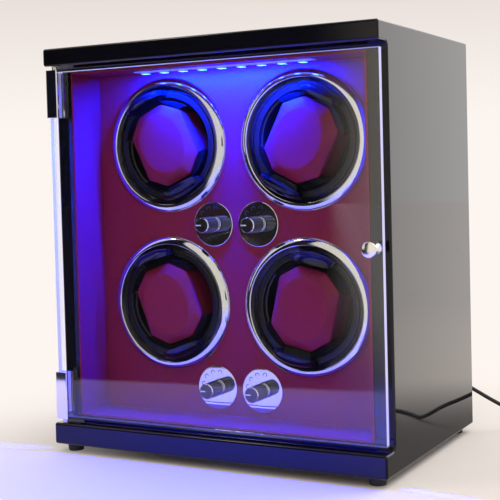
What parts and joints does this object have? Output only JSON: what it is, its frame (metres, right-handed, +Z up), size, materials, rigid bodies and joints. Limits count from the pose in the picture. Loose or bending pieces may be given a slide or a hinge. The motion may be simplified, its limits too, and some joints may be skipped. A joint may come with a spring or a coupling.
{
  "type": "watch winder box",
  "caption": "Upright lacquered cabinet with a hinged glass door and lit lined interior; motor-driven rotors turn padded holders to keep automatic watches wound, set by small control knobs.",
  "frame": {"origin": "under the middle of the box, on the surface that its feet stand on", "axes": "+Z up, -Y towards the glass door, +X to the right seen from the front"},
  "size_m": [0.4041, 0.2403, 0.31],
  "materials": {
    "lacquer": "high gloss black lacquer",
    "board": "matt black board",
    "lining": "fine grained wine red cover",
    "chrome": "polished",
    "collar": "gloss black",
    "drum": "matt black",
    "holder": "satin black",
    "cushion": "soft wine red cover",
    "mirror": "polished",
    "knob": "gloss black",
    "steel": "satin",
    "bearing": "plain",
    "housing": "matt",
    "circuit": "solder mask",
    "strip": "white film",
    "light": "lit blue",
    "glass": "clear",
    "foot": "matt black",
    "lead": "matt black",
    "tie": "hook and loop"
  },
  "bodies": {
    "cabinet": {"base_panel": "lacquer", "bezel_rings": "chrome", "control_board": "circuit", "cord_coil": "lead", "cord_run": "lead", "cord_tie": "tie", "dc_plug": "lead", "dial_plates": "mirror", "far_plug": "lead", "fascia_board": "lining", "feet": "foot", "gearboxes": "housing", "hinge_bushes": "bearing", "left_side_panel": "lacquer", "light_chips": "light", "light_strip": "strip", "liner_bottom": "lining", "liner_sides": "lining", "liner_top": "lining", "motor_board": "board", "motor_cans": "steel", "motor_screws": "steel", "power_socket": "housing", "rear_panel": "board", "rear_panel_screws": "steel", "right_side_panel": "lacquer", "rotary_switches": "housing", "rotor_collars": "collar", "switch_nuts": "steel", "top_panel": "lacquer"},
    "door": {"door_glass": "glass", "hinge_clips": "chrome", "clip_screws": "chrome", "hinge_pins": "steel", "door_knob": "chrome", "door_knob_screw": "chrome"},
    "rotor_1": {"rotor_drum_1": "drum", "watch_holder_1": "holder", "watch_cushion_1": "cushion", "drive_shaft_1": "steel"},
    "rotor_2": {"rotor_drum_2": "drum", "watch_holder_2": "holder", "watch_cushion_2": "cushion", "drive_shaft_2": "steel"},
    "rotor_3": {"rotor_drum_3": "drum", "watch_holder_3": "holder", "watch_cushion_3": "cushion", "drive_shaft_3": "steel"},
    "rotor_4": {"rotor_drum_4": "drum", "watch_holder_4": "holder", "watch_cushion_4": "cushion", "drive_shaft_4": "steel"},
    "knob_1": {"control_knob_1": "knob", "switch_shaft_1": "steel"},
    "knob_2": {"control_knob_2": "knob", "switch_shaft_2": "steel"},
    "knob_3": {"control_knob_3": "knob", "switch_shaft_3": "steel"},
    "knob_4": {"control_knob_4": "knob", "switch_shaft_4": "steel"}
  },
  "joints": [
    {"name": "door_hinge", "type": "hinge", "parent": "cabinet", "child": "door", "pos_m": [-0.1303, -0.08165, 0.159], "axis": [0, 0, -1], "range_deg": [0, 105]},
    {"name": "rotor_spin_1", "type": "hinge", "parent": "cabinet", "child": "rotor_1", "pos_m": [-0.05835, -0.03665, 0.2343], "axis": [0, 1, 0], "continuous": true},
    {"name": "rotor_spin_2", "type": "hinge", "parent": "cabinet", "child": "rotor_2", "pos_m": [0.05835, -0.03665, 0.2343], "axis": [0, 1, 0], "continuous": true},
    {"name": "rotor_spin_3", "type": "hinge", "parent": "cabinet", "child": "rotor_3", "pos_m": [-0.05835, -0.03665, 0.1124], "axis": [0, 1, 0], "continuous": true},
    {"name": "rotor_spin_4", "type": "hinge", "parent": "cabinet", "child": "rotor_4", "pos_m": [0.05835, -0.03665, 0.1124], "axis": [0, 1, 0], "continuous": true},
    {"name": "knob_turn_1", "type": "hinge", "parent": "cabinet", "child": "knob_1", "pos_m": [-0.0193, -0.03665, 0.1734], "axis": [0, 1, 0], "range_deg": [0, 180]},
    {"name": "knob_turn_2", "type": "hinge", "parent": "cabinet", "child": "knob_2", "pos_m": [0.0193, -0.03665, 0.1734], "axis": [0, 1, 0], "range_deg": [0, 180]},
    {"name": "knob_turn_3", "type": "hinge", "parent": "cabinet", "child": "knob_3", "pos_m": [-0.0193, -0.03665, 0.0488], "axis": [0, 1, 0], "range_deg": [0, 180]},
    {"name": "knob_turn_4", "type": "hinge", "parent": "cabinet", "child": "knob_4", "pos_m": [0.0193, -0.03665, 0.0488], "axis": [0, 1, 0], "range_deg": [0, 180]}
  ]
}
